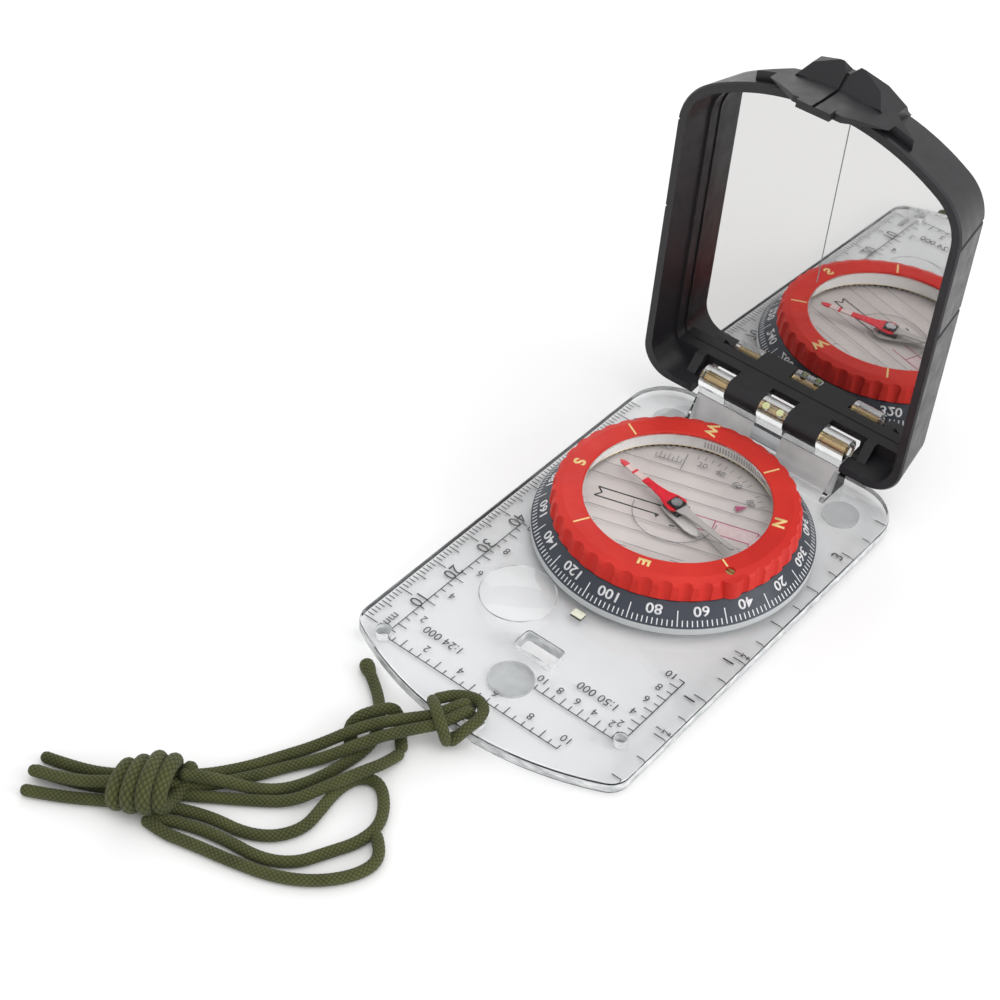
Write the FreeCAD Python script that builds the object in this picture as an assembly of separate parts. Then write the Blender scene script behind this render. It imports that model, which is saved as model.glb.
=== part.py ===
"""Mirror sighting compass with a hinged cover, a turning dial, a liquid capsule and a cord lanyard.

Own frame in millimetres: X across (right side plus), Y along the base towards the cover hinge,
Z up, with Z = 0 under the rubber feet.  The cover is drawn in its opened position.
"""
import FreeCAD, Part
import math
import os

os.makedirs("parts", exist_ok=True)

V = FreeCAD.Vector
UP = V(0, 0, 1)
RIGHT = V(1, 0, 0)

# ---------------------------------------------------------------- driving dimensions
foot_height = 0.6
plate_width = 62.7
plate_thickness = 2.9
plate_near_y = -56.8
plate_far_y = 49.1
plate_near_radius = 64.0
plate_near_corner = 4.5
plate_far_corner = 10.0
plate_bottom = foot_height
plate_top = plate_bottom + plate_thickness

dial_y = 10.5
dial_outer_radius = 28.45
dial_opening_radius = 22.1
dial_rim_top = 5.3
dial_shoulder = 8.7
bezel_radius = 25.0
bezel_top = 13.5
window_radius = 18.7
capsule_radius = 21.3
capsule_bore = 20.7
capsule_floor_low = 8.0
capsule_floor_top = 8.6
capsule_joint = 11.9
index_half_width = 1.25
index_near_y = -21.15
index_far_y = -19.35
mark_angle = 17.2

hinge_y = 45.2
hinge_z = 12.8
knuckle_radius = 2.6
pin_radius = 0.95
centre_knuckle_half = 3.2
cover_knuckle_end = 11.4
base_knuckle_end = 17.8
knuckle_gap = 0.12

cover_half_width = 31.5
cover_rim = 4.1
cover_back = -9.1
cover_draft = 2.0
cover_wall = 1.9
cover_top = 74.8
cover_bottom = -2.6
cover_open_angle = 92.0
mirror_face = -6.0
mirror_thickness = 1.1
tray_floor = -7.3
shelf_level = -3.2

cord_diameter = 2.2
cord_rest = 1.15


# ---------------------------------------------------------------- small helpers
def save(shape, name):
    """Write one node to its own file."""
    if not shape.isValid():
        print("invalid shape", name)
    shape.exportStep("parts/" + name + ".step")
    print(name, "volume", round(shape.Volume, 2), "solids", len(shape.Solids))


def disc(radius, z0, z1, x=0.0, y=0.0):
    """Upright cylinder between two heights."""
    return Part.makeCylinder(radius, z1 - z0, V(x, y, z0), UP)


def ring(outer, inner, z0, z1, x=0.0, y=0.0):
    """Upright tube between two heights."""
    return disc(outer, z0, z1, x, y).cut(disc(inner, z0 - 1, z1 + 1, x, y))


def block(x0, x1, y0, y1, z0, z1):
    """Box from its six faces."""
    return Part.makeBox(x1 - x0, y1 - y0, z1 - z0, V(x0, y0, z0))


def prism(points, direction):
    """Straight extrusion of a flat polygon."""
    wire = Part.makePolygon(points + [points[0]])
    return Part.Face(wire).extrude(direction)


def revolve(profile, y):
    """Solid of revolution about the dial axis from (radius, height) pairs."""
    points = [V(r, 0, z) for r, z in profile]
    wire = Part.makePolygon(points + [points[0]])
    solid = Part.Face(wire).revolve(V(0, 0, 0), UP, 360)
    solid.translate(V(0, y, 0))
    return solid


def fuse_all(shapes):
    """Union of a list of solids."""
    result = shapes[0]
    for shape in shapes[1:]:
        result = result.fuse(shape)
    return result.removeSplitter()


def polar(radius, degrees):
    """Point at an angle round the dial axis, in the plane."""
    a = math.radians(degrees)
    return radius * math.cos(a), dial_y + radius * math.sin(a)


def along_x(radius, x0, x1, y, z):
    """Cylinder lying along X."""
    return Part.makeCylinder(radius, x1 - x0, V(x0, y, z), RIGHT)


# ---------------------------------------------------------------- cord helpers
def cord_tube(name, points, diameter):
    """Round tube along straight runs joined by tangent arcs."""
    edges = []
    start = points[0]
    radii = []
    length = 0.0
    for i in range(1, len(points) - 1):
        before = points[i].sub(points[i - 1])
        after = points[i + 1].sub(points[i])
        turn = before.getAngle(after)
        reach = 0.45 * min(before.Length, after.Length)
        radius = reach / math.tan(turn / 2)
        radii.append(radius)
        u = before.normalize()
        w = after.normalize()
        first = points[i].sub(u * reach)
        last = points[i].add(w * reach)
        inward = w.sub(u).normalize()
        middle = points[i].add(inward * (radius / math.cos(turn / 2) - radius))
        edges.append(Part.LineSegment(start, first).toShape())
        edges.append(Part.Arc(first, middle, last).toShape())
        length += edges[-2].Length + edges[-1].Length
        start = last
    edges.append(Part.LineSegment(start, points[-1]).toShape())
    length += edges[-1].Length
    path = Part.Wire(edges)
    heading = points[1].sub(points[0])
    section = Part.Wire(Part.makeCircle(diameter / 2, points[0], heading))
    tube = path.makePipeShell([section], True, False)
    ratio = tube.Volume / (math.pi * diameter ** 2 / 4 * length)
    print(name, "length", round(length, 1), "least radius", round(min(radii), 1))
    print(name, "volume ratio", round(ratio, 3))
    return tube


def rounded_chain(points, diameter):
    """Knotted cord as its closed outer shape: rods with round joints."""
    pieces = []
    for i in range(len(points) - 1):
        run = points[i + 1].sub(points[i])
        pieces.append(Part.makeCylinder(diameter / 2, run.Length, points[i], run))
    for point in points:
        pieces.append(Part.makeSphere(diameter / 2, point))
    return fuse_all(pieces)


# ---------------------------------------------------------------- base plate
riser_top = hinge_z - knuckle_radius - 0.6
riser_front_low = hinge_y - 4.2
riser_front_high = hinge_y - 2.0
riser_back = hinge_y + 0.8

lens_x = -12.0
lens_y = -23.7
lens_radius = 7.5
lens_rise = 0.9
slot_y = -32.0
slot_half_x = 4.5
slot_half_y = 2.35
lanyard_hole_y = -52.6
lanyard_hole_radius = 2.6


def base_outline():
    """Plan of the plate with a bowed near end and rounded corners."""
    half = plate_width / 2
    slab = block(-half, half, plate_near_y, plate_far_y, plate_bottom, plate_top)
    far_edges = []
    for edge in slab.Edges:
        centre = edge.CenterOfMass
        upright = abs(edge.tangentAt(edge.FirstParameter).z) > 0.9
        if upright and centre.y > 0:
            far_edges.append(edge)
    slab = slab.makeFillet(plate_far_corner, far_edges)
    bow = disc(plate_near_radius, plate_bottom - 1, plate_top + 1, 0, plate_near_y + plate_near_radius)
    slab = slab.common(bow)
    near_edges = []
    for edge in slab.Edges:
        centre = edge.CenterOfMass
        upright = abs(edge.tangentAt(edge.FirstParameter).z) > 0.9
        if upright and centre.y < -40 and edge.Length < plate_thickness + 0.1:
            near_edges.append(edge)
    return slab.makeFillet(plate_near_corner, near_edges)


def soft_rim(slab, size):
    """Round the upper and lower outline edges of the plate."""
    edges = []
    for edge in slab.Edges:
        flat = abs(edge.tangentAt(edge.FirstParameter).z) < 0.1
        if flat:
            edges.append(edge)
    return slab.makeFillet(size, edges)


def riser():
    """Upstand at the far end that carries the fixed hinge knuckles."""
    half = base_knuckle_end
    low = plate_top - 0.5
    profile = [V(0, riser_front_low, low), V(0, riser_back, low)]
    profile += [V(0, riser_back, riser_top), V(0, riser_front_high, riser_top)]
    wall = prism([p.add(V(-half, 0, 0)) for p in profile], V(2 * half, 0, 0))
    pieces = [wall]
    spans = [(-centre_knuckle_half, centre_knuckle_half)]
    spans += [(cover_knuckle_end, base_knuckle_end), (-base_knuckle_end, -cover_knuckle_end)]
    for x0, x1 in spans:
        pieces.append(along_x(knuckle_radius, x0, x1, hinge_y, hinge_z))
        post = [V(x0, riser_front_high, riser_top - 0.5), V(x0, riser_back, riser_top - 0.5)]
        post += [V(x0, riser_back, hinge_z - 1), V(x0, riser_front_high, hinge_z - 1)]
        pieces.append(prism(post, V(x1 - x0, 0, 0)))
    for side in (-1, 1):
        foot_x = side * (half - 1.0)
        gusset = [V(foot_x, riser_front_low - 3.5, low), V(foot_x, riser_front_low + 1, low)]
        gusset.append(V(foot_x, riser_front_high, riser_top - 1))
        gusset.append(V(foot_x, riser_front_high - 0.6, riser_top - 1))
        pieces.append(prism(gusset, V(side * 1.0, 0, 0)))
    return fuse_all(pieces)


def luminous_dot(x, grow=0.0):
    """One glowing bead let into the centre knuckle."""
    tilt = V(0, -0.62, 0.78)
    start = V(x, hinge_y, hinge_z).add(tilt * 1.35)
    return Part.makeCylinder(0.75 + grow, 1.3, start, tilt)


dot_offsets = (-1.7, 1.7)

base = soft_rim(base_outline(), 0.45)
base = base.fuse(riser())
bulge_sphere_radius = (lens_radius ** 2 + lens_rise ** 2) / (2 * lens_rise)
bulge_centre = V(lens_x, lens_y, plate_top + lens_rise - bulge_sphere_radius)
bulge = Part.makeSphere(bulge_sphere_radius, bulge_centre)
bulge = bulge.common(disc(lens_radius, plate_top - 0.3, plate_top + 3, lens_x, lens_y))
base = base.fuse(bulge)
base = base.cut(disc(dial_opening_radius, plate_bottom - 1, plate_top + 1, 0, dial_y))
base = base.cut(disc(24.2, plate_bottom - 1, plate_bottom + 1.35, 0, dial_y))
slot = block(-slot_half_x, slot_half_x, slot_y - slot_half_y, slot_y + slot_half_y, -1, 6)
slot_edges = [e for e in slot.Edges if abs(e.tangentAt(e.FirstParameter).z) > 0.9]
base = base.cut(slot.makeFillet(0.9, slot_edges))
base = base.cut(disc(lanyard_hole_radius, -1, 6, 0, lanyard_hole_y))
base = base.cut(block(-2.7, 3.9, -60, lanyard_hole_y, -1, plate_bottom + 1.75))
base = base.cut(disc(1.6, -1, 6, -24.8, -48.1))
base = base.cut(disc(1.3, -1, 6, 24.7, -39.5))
index_span = (-index_half_width, index_half_width, index_near_y, index_far_y)
base = base.cut(block(*index_span, plate_top - 0.9, plate_top + 1))
base = base.cut(along_x(pin_radius, -base_knuckle_end - 1, base_knuckle_end + 1, hinge_y, hinge_z))
for x in dot_offsets:
    base = base.cut(luminous_dot(x))
base = base.removeSplitter()
save(base, "base_plate")

save(disc(4.5, 0, foot_height, 0, -40.4), "near_rubber_foot")
far_feet = [disc(3.8, 0, foot_height, side * 21.5, 39.6) for side in (-1, 1)]
save(Part.makeCompound(far_feet), "far_rubber_feet")
save(block(*index_span, plate_top - 0.9, plate_top + 0.05), "luminous_index_mark")
pin = along_x(pin_radius, -17.3, 17.3, hinge_y, hinge_z)
save(pin, "hinge_pin")
dots = [luminous_dot(x).cut(pin) for x in dot_offsets]
save(Part.makeCompound(dots), "hinge_luminous_beads")

# ---------------------------------------------------------------- turning dial
collar_inner = 20.3
collar_outer = 22.0
flange_bottom = plate_top + 0.15
oring_radius = 25.2

dial_profile = [(collar_inner, 0.8), (collar_outer, 0.8), (collar_outer, flange_bottom)]
dial_profile += [(dial_outer_radius, flange_bottom), (dial_outer_radius, dial_rim_top - 0.2)]
dial_profile += [(dial_outer_radius - 0.2, dial_rim_top), (24.7, dial_shoulder), (21.5, dial_shoulder)]
dial_profile += [(21.5, 7.0), (19.2, 7.0), (19.2, 5.6), (collar_inner, 4.6)]
degree_dial = revolve(dial_profile, dial_y)
oring_groove = ring(oring_radius + 0.5, oring_radius - 0.5, 3.0, flange_bottom + 0.8, 0, dial_y)
degree_dial = degree_dial.cut(oring_groove)

save(ring(23.9, collar_outer, 0.85, 1.75, 0, dial_y), "dial_retaining_ring")
save(Part.makeTorus(oring_radius, 0.4, V(0, dial_y, flange_bottom + 0.38), UP), "dial_friction_ring")

# gear train that sets the declination
gear_module = 22.3 * 2 / 112
disc_teeth = 105
screw_teeth = 7
screw_radius_from_axis = 22.3
screw_angle = mark_angle - 45.0
screw_x, screw_y = polar(screw_radius_from_axis, screw_angle)
save(degree_dial.cut(disc(1.95, 7.0, 9.0, screw_x, screw_y)), "degree_dial")


def gear(teeth, z0, z1, phase, bore):
    """Low-profile toothed disc with free play at the mesh."""
    pitch = gear_module * teeth / 2
    step = 2 * math.pi / teeth
    outline = []
    for k in range(teeth):
        centre = phase + k * step
        for radius, offset in ((-0.75, -0.32), (0.5, -0.14), (0.5, 0.14), (-0.75, 0.32)):
            r = pitch + radius * gear_module
            a = centre + offset * step
            outline.append(V(r * math.cos(a), r * math.sin(a), z0))
    body = prism(outline, V(0, 0, z1 - z0))
    if bore > 0:
        body = body.cut(disc(bore, z0 - 1, z1 + 1))
    return body


bezel_bottom = dial_shoulder + 0.02
bezel_profile = [(21.5, bezel_bottom), (bezel_radius - 0.5, bezel_bottom)]
bezel_profile += [(bezel_radius, bezel_bottom + 0.5), (bezel_radius - 0.3, 12.3)]
bezel_profile += [(bezel_radius - 0.7, 12.95), (bezel_radius - 2.3, bezel_top)]
bezel_profile += [(19.0, bezel_top), (18.8, bezel_top - 0.2), (18.8, 12.65), (21.5, 12.65)]
bezel = revolve(bezel_profile, dial_y)
flutes = []
flute_count = 40
for k in range(flute_count):
    fx, fy = polar(bezel_radius + 0.75, screw_angle + (k + 0.5) * 360 / flute_count)
    flutes.append(Part.makeCone(1.15, 2.0, 6.4, V(fx, fy, bezel_bottom - 1), UP))
bezel = bezel.cut(Part.makeCompound(flutes))
lug_x, lug_y = polar(22.9, screw_angle)
lug = disc(2.5, bezel_bottom + 0.1, bezel_top - 0.4, lug_x, lug_y).cut(disc(21.6, 0, 20, 0, dial_y))
bezel = bezel.fuse(lug)
bezel = bezel.cut(disc(0.98, 7, 20, screw_x, screw_y))
bezel = bezel.removeSplitter()
save(bezel, "bezel_grip_ring")

cup_profile = [(0, capsule_floor_low), (capsule_radius, capsule_floor_low)]
cup_profile += [(capsule_radius, capsule_joint), (capsule_bore, capsule_joint)]
cup_profile += [(capsule_bore, capsule_floor_top), (0, capsule_floor_top)]
save(revolve(cup_profile, dial_y), "capsule_cup")
window_profile = [(0, 12.55), (capsule_bore, 12.55), (capsule_bore, capsule_joint)]
window_profile += [(capsule_radius, capsule_joint), (capsule_radius, 12.6)]
window_profile += [(window_radius, 12.6), (window_radius, 13.2), (18.4, 13.35), (0, 13.35)]
save(revolve(window_profile, dial_y), "capsule_window")
wall_profile = [(20.25, capsule_floor_top), (capsule_bore, capsule_floor_top)]
wall_profile += [(capsule_bore, 12.5), (19.7, 12.5), (19.75, capsule_joint)]
save(revolve(wall_profile, dial_y), "capsule_inner_ring")

orienting_disc = gear(disc_teeth, 7.1, 7.9, 0.0, 0)
orienting_disc.rotate(V(0, 0, 0), UP, screw_angle)
orienting_disc.translate(V(0, dial_y, 0))
save(orienting_disc, "orienting_disc")

pinion = gear(screw_teeth, 7.1, 7.9, math.pi / screw_teeth, 0)
pinion.rotate(V(0, 0, 0), UP, screw_angle + 180)
pinion.translate(V(screw_x, screw_y, 0))
screw = pinion.fuse(disc(0.9, 7.1, 13.2, screw_x, screw_y))
kerf = block(screw_x - 1.2, screw_x + 1.2, screw_y - 0.2, screw_y + 0.2, 12.6, 14)
save(screw.cut(kerf).removeSplitter(), "declination_screw")

# ---------------------------------------------------------------- pivot, clinometer and needle
post = disc(0.95, 8.6, 9.05, 0, dial_y).fuse(disc(0.6, 9.0, 10.5, 0, dial_y))
post = post.fuse(Part.makeCone(0.6, 0.08, 0.5, V(0, dial_y, 10.5), UP)).removeSplitter()
save(post, "pivot_post")

needle_angle = 169.3
clinometer_angle = -24.0


def flat_blade(points, z0, z1, angle):
    """Thin symmetrical blade pointing along an angle from the pivot."""
    upper = [V(u, v, z0) for u, v in points]
    lower = [V(u, -v, z0) for u, v in reversed(points) if v > 0]
    shape = prism(upper + lower, V(0, 0, z1 - z0))
    shape.rotate(V(0, 0, 0), UP, angle)
    shape.translate(V(0, dial_y, 0))
    return shape


clino_points = [(8.4, 0), (7.2, 0.8), (5.6, 1.4), (2.4, 1.8), (0.6, 2.1)]
clino_points += [(-2.0, 2.2), (-3.2, 1.0), (-3.6, 0)]
clinometer = flat_blade(clino_points, 9.12, 9.4, clinometer_angle)
clinometer = clinometer.fuse(disc(1.6, 9.12, 9.4, 0, dial_y)).cut(disc(0.68, 8, 11, 0, dial_y))
save(clinometer.removeSplitter(), "clinometer_pointer")

needle_points = [(16.5, 0), (15.6, 0.6), (11.5, 0.72), (6.4, 0.85), (3.6, 1.25), (1.6, 2.0), (-0.4, 2.3)]
needle_points += [(-1.3, 1.5), (-3.6, 0.85), (-15.6, 0.5), (-16.0, 0)]
needle = flat_blade(needle_points, 10.62, 10.95, needle_angle)
needle = needle.cut(disc(1.3, 9, 12, 0, dial_y))
save(needle, "compass_needle")
magnet = block(-2.1, 2.1, -1.7, 1.7, 9.75, 10.62).fuse(disc(1.3, 10.6, 11.0))
magnet = magnet.fuse(block(-1.4, 1.4, -1.4, 1.4, 10.97, 11.25)).cut(disc(1.0, 9, 12)).removeSplitter()
magnet.rotate(V(0, 0, 0), UP, needle_angle)
magnet.translate(V(0, dial_y, 0))
save(magnet, "needle_magnet")
cap = disc(1.0, 9.75, 11.25, 0, dial_y).fuse(disc(1.1, 11.25, 11.5, 0, dial_y))
cap = cap.cut(disc(0.68, 9, 11.06, 0, dial_y)).removeSplitter()
save(cap, "needle_jewel_cap")


# ---------------------------------------------------------------- hinged cover
def cover_wire(inset, z, top_inset=None):
    """Closed outline of the cover at one level, moved inward by an inset."""
    if top_inset is None:
        top_inset = inset
    half = cover_half_width - inset
    low = cover_bottom + inset
    low_corner = 7.0 - inset * 0.6
    crown = cover_top - top_inset
    crown_radius = 50.0 - top_inset
    centre = crown - crown_radius
    corner = 12.0 - inset
    reach = crown_radius - corner
    corner_x = half - corner
    corner_y = centre + math.sqrt(reach ** 2 - corner_x ** 2)
    unit = V(corner_x, corner_y - centre, 0).normalize()
    meet = V(corner_x, corner_y, 0).add(unit * corner)
    bulge_direction = V(1, 0, 0).add(unit).normalize()
    middle = V(corner_x, corner_y, 0).add(bulge_direction * corner)
    side_top = V(half, corner_y, 0)
    side_low = V(half, low + low_corner, 0)
    low_mid = V(half - low_corner, low + low_corner, 0).add(V(0.70711, -0.70711, 0) * low_corner)
    low_right = V(half - low_corner, low, 0)
    crown_mid = V(0, crown, 0)

    def mirrored(p):
        return V(-p.x, p.y, 0)

    edges = [Part.LineSegment(mirrored(low_right), low_right).toShape()]
    edges.append(Part.Arc(low_right, low_mid, side_low).toShape())
    edges.append(Part.LineSegment(side_low, side_top).toShape())
    edges.append(Part.Arc(side_top, middle, meet).toShape())
    edges.append(Part.Arc(meet, crown_mid, mirrored(meet)).toShape())
    edges.append(Part.Arc(mirrored(meet), mirrored(middle), mirrored(side_top)).toShape())
    edges.append(Part.LineSegment(mirrored(side_top), mirrored(side_low)).toShape())
    edges.append(Part.Arc(mirrored(side_low), mirrored(low_mid), mirrored(low_right)).toShape())
    wire = Part.Wire(edges)
    wire.translate(V(0, 0, z))
    return wire


def cover_body():
    """Black shell, drawn lying on its back with the hinge axis along X through the origin."""
    edge_round = 1.2
    sections = [cover_wire(0.3, cover_rim), cover_wire(0.0, cover_rim - 0.5)]
    sections += [cover_wire(cover_draft * 0.9, cover_back + edge_round)]
    sections += [cover_wire(cover_draft + edge_round * 0.9, cover_back)]
    shell = None
    for upper, lower in zip(sections, sections[1:]):
        piece = Part.makeLoft([upper, lower], True, True)
        shell = piece if shell is None else shell.fuse(piece)
    well_mouth = cover_wire(cover_wall, cover_rim + 0.4)
    well = Part.makeLoft([well_mouth, cover_wire(cover_wall + 0.7, shelf_level)], True, True)
    shell = shell.cut(well)
    tray_mouth = cover_wire(3.1, shelf_level + 0.1, 3.4)
    tray = Part.makeLoft([tray_mouth, cover_wire(3.3, tray_floor, 3.6)], True, True)
    tray = tray.common(block(-40, 40, 2.85, 90, -20, 20))
    shell = shell.cut(tray)
    gap = base_knuckle_end + 0.5
    shell = shell.cut(block(-gap, gap, -5, 1.25, -20, 20))
    shell = shell.cut(block(-gap, gap, -5, 4.8, shelf_level, 20))
    arms = []
    for side in (-1, 1):
        x0 = centre_knuckle_half + knuckle_gap
        x1 = cover_knuckle_end - knuckle_gap
        if side < 0:
            x0, x1 = -x1, -x0
        arms.append(along_x(knuckle_radius, x0, x1, 0, 0))
        arm = [(0, 0), (1.05, -2.35), (1.25, -3.4), (1.25, -5.0), (2.85, -5.0), (2.85, 0.9), (1.6, 2.05)]
        arms.append(prism([V(x0, s, z) for s, z in arm], V(x1 - x0, 0, 0)))
        x0 = side * (gap + 1.6)
        rib = [(-0.9, shelf_level - 0.5), (2.85, shelf_level - 0.5)]
        rib += [(2.85, shelf_level + 1.3), (-0.9, 1.2)]
        arms.append(prism([V(x0, s, z) for s, z in rib], V(side * 2.2, 0, 0)))
    shell = fuse_all([shell] + arms)
    shell = shell.cut(along_x(pin_radius + 0.08, -20, 20, 0, 0))
    return shell


def sighting_fins():
    """Twin gables with the notch between them, on the crown of the cover."""
    half = [(10.4, 71.5), (10.4, 74.4), (7.3, 78.6), (2.7, 80.4), (1.85, 80.5), (0.35, 78.9)]
    outline = half + [(-x, s) for x, s in reversed(half)]
    gable = prism([V(x, s, -9) for x, s in outline], V(0, 0, 11.0))
    slope = [(83, -0.2), (80.5, -2.0), (73.0, -7.2), (71, -9.5), (71, -12), (83, -12)]
    gable = gable.cut(prism([V(-20, s, z) for s, z in slope], V(40, 0, 0)))
    front = [(83, -4.1), (76.2, 1.6), (74.5, 1.6), (74.5, 12), (83, 12)]
    return gable.cut(prism([V(-20, s, z) for s, z in front], V(40, 0, 0)))


def sighting_groove():
    """Narrow groove that carries the notch down the front slope and across the lip."""
    section = [(78.6, -1.2), (75.7, 1.3), (76.05, 9.5), (78, 12), (82, 0)]
    return prism([V(-0.35, s, z) for s, z in section], V(0.7, 0, 0))


def latch_lip():
    """Forward lip of the crown with the catch tab that enters the plate slot."""
    outline = [(-17, 2.2), (-7.2, 7.6), (-5.2, 8.8), (5.2, 8.8)]
    outline += [(7.2, 7.6), (17, 2.2), (11, -1), (-11, -1)]
    lip = prism([V(x, 75.0, z) for x, z in outline], V(0, 1.8, 0))
    limit = Part.makeCylinder(51.8, 40, V(0, cover_top - 50, -20), UP)
    lip = lip.common(limit)
    filler = [(-17, 2.2), (17, 2.2), (11, -1), (-11, -1)]
    filler = prism([V(x, 70.8, z) for x, z in filler], V(0, 5.2, 0)).common(limit)
    filler = filler.cut(Part.makeCylinder(50 - 1.9, 60, V(0, cover_top - 50, -20), UP))
    tab = block(-3.6, 3.6, 75.1, 76.7, 8.0, 10.2)
    return fuse_all([lip, filler, tab])


def side_notches():
    """Shallow alignment grooves across both side walls."""
    cuts = []
    for s in (38.0, 58.0):
        for side in (-1, 1):
            edge = side * (cover_half_width + 0.2)
            tip = side * (cover_half_width - 0.55)
            corners = [V(edge, s - 0.7, 4.5), V(edge, s + 0.7, 4.5), V(tip, s, 4.5)]
            wedge = prism(corners, V(-side * 2.0, 0, -14))
            cuts.append(wedge)
    return Part.makeCompound(cuts)


def open_cover(shape):
    """Swing a cover piece from lying flat to its opened position and set it on the hinge."""
    shape.rotate(V(0, 0, 0), RIGHT, 180 - cover_open_angle)
    shape.translate(V(0, hinge_y, hinge_z))
    return shape


cover = fuse_all([cover_body(), sighting_fins(), latch_lip()])
cover = cover.cut(side_notches()).cut(sighting_groove())
save(open_cover(cover), "cover_shell")


def mirror_outline(inset, z0, z1):
    """Plan of the mirror glass between two levels."""
    wire = cover_wire(3.5 + inset, z0, 3.9 + inset)
    slab = Part.Face(wire).extrude(V(0, 0, z1 - z0))
    return slab.common(block(-40, 40, 2.95 + inset, 90, -20, 20))


mirror_back = mirror_face - mirror_thickness
save(open_cover(mirror_outline(0, mirror_back, mirror_face)), "sighting_mirror")
save(open_cover(mirror_outline(2.0, tray_floor, mirror_back)), "mirror_adhesive_pad")

# ---------------------------------------------------------------- lanyard
floor = cord_rest


def cord_points(pairs):
    """Turn (x, y) or (x, y, z) tuples into points, lying on the ground unless lifted."""
    return [V(p[0], p[1], p[2] if len(p) > 2 else floor) for p in pairs]


hitch_loop = [(-5.6, -56.4, 4.9), (-3.0, -52.6, 4.8), (0.3, -50.9, 4.8), (3.0, -52.8, 4.75)]
hitch_loop += [(3.2, -56.3, 4.7), (2.5, -58.8, 3.4), (1.4, -58.9, 1.3)]
hitch_loop += [(0.8, -53.2, 1.2), (-0.4, -52.6, 3.4), (-1.2, -54.6, 4.9), (-2.6, -58.6, 4.8)]
hitch_bar = [(-5.6, -56.4, 4.9), (-3.9, -58.0, 6.3), (-1.2, -60.0, 6.5)]
hitch_bar += [(1.0, -60.9, 4.9), (1.4, -60.2, 2.6)]
hitch_pair = [(-0.2, -56.6, 4.8), (-0.9, -59.6, 4.6)]
hitch = fuse_all([rounded_chain(cord_points(hitch_loop), cord_diameter),
                  rounded_chain(cord_points(hitch_bar), cord_diameter),
                  rounded_chain(cord_points(hitch_pair), cord_diameter)])
hitch = hitch.cut(base)
save(hitch, "lanyard_hitch")

strand_a = [(-2.6, -58.4, 4.8), (-7.6, -64.6, 4.9), (-11.2, -69.2, 4.3), (-16.0, -76.4, 1.3),
            (-19.0, -82.2), (-21.9, -88.2), (-26.6, -95.4, 1.6), (-31.8, -100.4, 2.6),
            (-37.2, -104.4, 1.4), (-43.6, -107.9), (-50.6, -110.1)]
strand_b = [(-0.6, -59.2, 4.7), (-5.2, -66.2, 4.9), (-8.3, -70.9, 4.2), (-13.0, -77.6, 1.35),
            (-16.2, -82.4), (-19.7, -88.9), (-24.9, -97.0, 1.3), (-29.6, -101.4, 3.4),
            (-34.3, -106.2, 3.7), (-41.0, -111.6, 3.15), (-48.6, -114.6, 3.1)]
strand_c = [(-3.6, -67.0, 1.2), (-3.4, -71.2, 2.2), (-4.6, -76.4, 3.5), (-7.7, -83.0, 2.6),
            (-10.6, -88.6, 1.3), (-16.3, -93.0), (-22.4, -97.4), (-29.0, -102.4, 1.3),
            (-35.4, -106.6), (-42.2, -110.8), (-49.6, -113.2)]
strand_d = [(-27.3, -98.9, 4.9), (-22.2, -94.6, 3.7), (-17.6, -91.2, 1.6), (-13.4, -87.4),
            (-10.7, -81.8), (-9.4, -75.6), (-8.8, -69.6), (-10.9, -65.0), (-14.2, -61.0),
            (-18.4, -57.8), (-23.4, -55.0, 1.5)]
strand_e = [(-27.0, -107.2, 1.2), (-21.2, -104.0), (-14.0, -101.9), (-6.0, -100.9),
            (-0.9, -97.6), (1.6, -92.4), (4.2, -87.2), (4.5, -82.0), (1.7, -77.5), (-2.2, -74.7),
            (-5.6, -76.4), (-6.5, -81.0), (-5.6, -86.2), (-4.9, -91.0), (-7.3, -95.8),
            (-12.0, -98.8), (-18.2, -99.9), (-24.6, -102.6), (-30.2, -106.4, 1.3),
            (-35.6, -110.2), (-41.6, -114.4), (-47.6, -117.6)]
strand_f = [(4.9, -83.6), (7.6, -85.4), (9.5, -88.6), (8.2, -93.2), (4.2, -98.2), (-1.6, -102.0),
            (-9.2, -104.4), (-17.0, -106.3), (-22.6, -108.0), (-27.2, -107.9)]

for name, route in (("a", strand_a), ("b", strand_b), ("c", strand_c), ("d", strand_d),
                    ("e", strand_e), ("f", strand_f)):
    label = "lanyard_strand_" + name
    strand = cord_tube(label, cord_points(route), cord_diameter)
    if name == "d":
        # melted knob that stops the short free end from fraying
        strand = strand.fuse(Part.makeSphere(1.5, V(-22.9, -55.3, 1.55)))
    save(strand, label)

# gathering fold that the two leading strands lie over
fold_hump = [(-3.6, -67.0, 1.25), (-6.6, -64.0, 1.25), (-9.4, -61.7, 2.3), (-11.0, -63.3, 3.7),
             (-13.0, -66.0, 3.6), (-14.4, -67.9, 2.0), (-12.2, -70.6, 1.25), (-11.8, -72.6, 1.25)]
fold = rounded_chain(cord_points(fold_hump), 2.3)
save(fold, "lanyard_gather_fold")


def knot_wrap(centre, half_across, half_up, thickness, yaw):
    """One turn of the big wrapped knot, an oval pad with a rounded rim."""
    oval = Part.Ellipse(V(0, 0, 0), half_across, half_up).toShape()
    pad = Part.Face(Part.Wire([oval])).extrude(V(0, 0, thickness))
    pad = pad.makeFillet(thickness * 0.46, pad.Edges[:1] + pad.Edges[2:])
    pad.translate(V(0, 0, -thickness / 2))
    pad.rotate(V(0, 0, 0), RIGHT, 90)
    pad.rotate(V(0, 0, 0), UP, yaw)
    pad.translate(centre)
    return pad


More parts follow.
